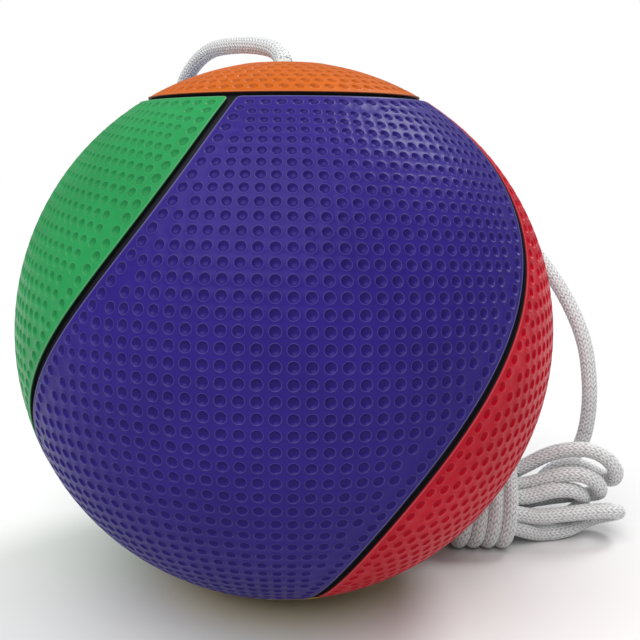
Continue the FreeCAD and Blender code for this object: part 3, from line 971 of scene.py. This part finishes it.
# ---- rope pieces ---------------------------------------------------------------------------------
CORE_STEP = 1.5 * MM
CORE_UNDER = 0.35 * MM               # the core lies this far under the cover
CORE_SIDES = 12
BRAID_CUTS = (0.42, 1.0, 1.58)       # metres along the rope where one length of cover ends
TIP_R = 3.9 * MM
TIP_LENGTH = 13 * MM
TIP_STEP = 0.5 * MM
TIP_ROUNDING = 1.6 * MM
TIP_TAPER = 0.9 * MM
TIP_SIDES = 24


def braided_cover(line, look):
    """The cover, in lengths that are each one piece."""
    path = frames(line)
    length = np.linalg.norm(np.diff(line, axis=0), axis=1).sum()
    cuts = [0] + [int(cut / ROPE_STEP) for cut in BRAID_CUTS] + [len(line)]
    covers = []
    for number, (first, last) in enumerate(zip(cuts, cuts[1:])):
        part = [rows[first : last + 1] for rows in path]
        phase = first * length / (len(line) - 1)
        covers.append(braid("rope_braid_%d" % number, part, ROPE_R, look, phase))
    return covers


def end_sleeve(line):
    """The melted sleeve, rounded off at both ends."""
    path = resample(line[-int(TIP_LENGTH / ROPE_STEP) :], TIP_STEP)
    number = np.arange(len(path))
    to_end = np.minimum(number, number[::-1]) * TIP_STEP
    radius = TIP_R - TIP_TAPER * np.clip(1 - to_end / TIP_ROUNDING, 0, 1) ** 2
    look = fibre("sealed_tip", (0.7, 0.69, 0.64), (0.8, 0.79, 0.74))
    sleeve = tube("rope_end_sleeve", path, radius, look, TIP_SIDES)
    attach(sleeve, "ball")
    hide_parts("rope_end_tip")
    return sleeve


def bending_rope(line, look):
    """Core and cover of the free rope and the hank, which bend over from the eye's neck."""
    core_look = fibre("rope_core", (0.25, 0.25, 0.25), (0.4, 0.4, 0.4))
    core = tube("rope_core", resample(line, CORE_STEP), ROPE_R - CORE_UNDER, core_look, CORE_SIDES)
    covers = braided_cover(line, look)
    for piece in [core] + covers:
        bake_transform(piece)
    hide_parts("tether_rope", "rope_hank")
    return core, covers


# ---- the tether's eye ----------------------------------------------------------------------------
EYE_FIT = 0.15 * MM
EYE_POINTS = 78
EYE_UNDER = 0.1 * MM
NECK_WAY = np.array([0.0, math.sqrt(0.5), math.sqrt(0.5)])
NECK_FROM, NECK_TO = 6.0 * MM, 16.0 * MM
NECK_ROOT_R = 4.3 * MM
NECK_POINTS = 22
WHIP_TURNS = 6
WHIP_R = 4.45 * MM
WHIP_FROM, WHIP_TO = 10.8 * MM, 13.2 * MM
WHIP_THREAD_R = 0.3 * MM
WHIP_POINTS = 200
WHIP_SIDES = 8


def spliced_eye(pin, pin_r, look):
    """The ring round the pin, and the neck that its splice thickens."""
    radius = pin_r + ROPE_R + EYE_FIT
    turn = np.linspace(0, 2 * math.pi, EYE_POINTS + 1)[:-1]
    ring = np.stack([np.zeros_like(turn), np.cos(turn) * radius, np.sin(turn) * radius], -1) + pin
    eye = braid("eye_ring", frames(ring), ROPE_R - EYE_UNDER, look, closed=True)
    neck_line = pin + NECK_WAY * np.linspace(NECK_FROM, NECK_TO, NECK_POINTS)[:, None]
    neck = braid("eye_neck", frames(neck_line), np.linspace(NECK_ROOT_R, ROPE_R, NECK_POINTS), look)
    for piece in (eye, neck):
        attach(piece, "tether")
    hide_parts("tether_eye")
    return [eye, neck]


def eye_whipping(pin):
    """Thread wound round the splice, a turn beside a turn."""
    angle = np.linspace(0, 2 * math.pi * WHIP_TURNS, WHIP_POINTS)[:, None]
    level = np.array([1.0, 0.0, 0.0])
    line = pin + NECK_WAY * np.linspace(WHIP_FROM, WHIP_TO, WHIP_POINTS)[:, None]
    line = line + (level * np.cos(angle) + np.cross(NECK_WAY, level) * np.sin(angle)) * WHIP_R
    look = fibre("whipping_thread", (0.55, 0.54, 0.5), (0.72, 0.71, 0.66))
    thread = tube("eye_whipping_thread", line, WHIP_THREAD_R, look, WHIP_SIDES)
    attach(thread, "tether")
    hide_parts("eye_whipping")
    return thread


def whole_rope():
    """The rope from its eye to its sealed end."""
    look = rope_material("rope")
    line = resample(spline_points(rope_route()), ROPE_STEP)
    core, covers = bending_rope(line, look)
    sleeve = end_sleeve(line)
    low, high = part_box("tether_pin")
    pin = np.array((low + high) / 2)
    eye = spliced_eye(pin, (high.z - low.z) / 2, look)
    covers + [sleeve] + eye + [eye_whipping(pin)]


# ---- floor, light and camera ---------------------------------------------------------------------
BALL_CENTRE = Vector((0.0, 0.0, BALL_R))
FLOOR_HALF = 4.0
FLOOR_GREY = 0.64
SKY_ON_THINGS, SKY_SEEN = 0.3, 1.0   # the world's strength as a light, and as the backdrop
CAMERA_DISTANCE = 3.35 * BALL_R
CAMERA_ELEVATION = math.radians(12.0)
CAMERA_LENS = 48.43
CAMERA_SENSOR = 36.0
CAMERA_SHIFT = (0.0564, 0.0162)
CAMERA_CLIP = 0.01


def floor():
    half = FLOOR_HALF
    corners = [(-half, -half, 0), (half, -half, 0), (half, half, 0), (-half, half, 0)]
    look, _, shader = material("floor", 0.9, specular=0.1)
    shader.inputs["Base Color"].default_value = (FLOOR_GREY, FLOOR_GREY, FLOOR_GREY, 1.0)
    new_piece("floor", new_mesh("floor", corners, [(0, 1, 2, 3)]), look)


def studio():
    """White backdrop that lights the object less than it shows."""
    world = bpy.data.worlds.new("studio")
    bpy.context.scene.world = world
    world.use_nodes = True
    sky = world.node_tree
    background = sky.nodes["Background"]
    background.inputs["Color"].default_value = (1.0, 1.0, 1.0, 1.0)
    seen = node(sky, "ShaderNodeLightPath").outputs["Is Camera Ray"]
    sky.links.new(scaled(sky, seen, SKY_ON_THINGS, SKY_SEEN), background.inputs["Strength"])
    bpy.context.scene.view_settings.view_transform = "Standard"


def look_at_ball(thing, way, distance):
    """Stands a light or camera this far from the ball's centre, facing it."""
    bpy.context.scene.collection.objects.link(thing)
    thing.location = BALL_CENTRE + way * distance
    thing.rotation_euler = (-way).to_track_quat("-Z", "Y").to_euler()


def soft_sun(name, way, spread, strength):
    data = bpy.data.lights.new(name, "SUN")
    data.angle = math.radians(spread)
    data.energy = strength
    look_at_ball(bpy.data.objects.new(name, data), Vector(way).normalized(), 1.0)


def camera():
    data = bpy.data.cameras.new("camera")
    data.lens = CAMERA_LENS
    data.sensor_width = CAMERA_SENSOR
    data.clip_start = CAMERA_CLIP
    data.shift_x, data.shift_y = CAMERA_SHIFT
    made = bpy.data.objects.new("camera", data)
    way = Vector((0.0, -math.cos(CAMERA_ELEVATION), math.sin(CAMERA_ELEVATION)))
    look_at_ball(made, way, CAMERA_DISTANCE)
    bpy.context.scene.camera = made


# ---- the whole scene -----------------------------------------------------------------------------
carry_over()
side_panels()
cap_panels()
whole_rope()
floor()
studio()
soft_sun("key", (0.50, 0.42, 0.76), 20.0, 1.6)
soft_sun("front", (-0.25, -0.50, 1.0), 65.0, 3.6)
camera()
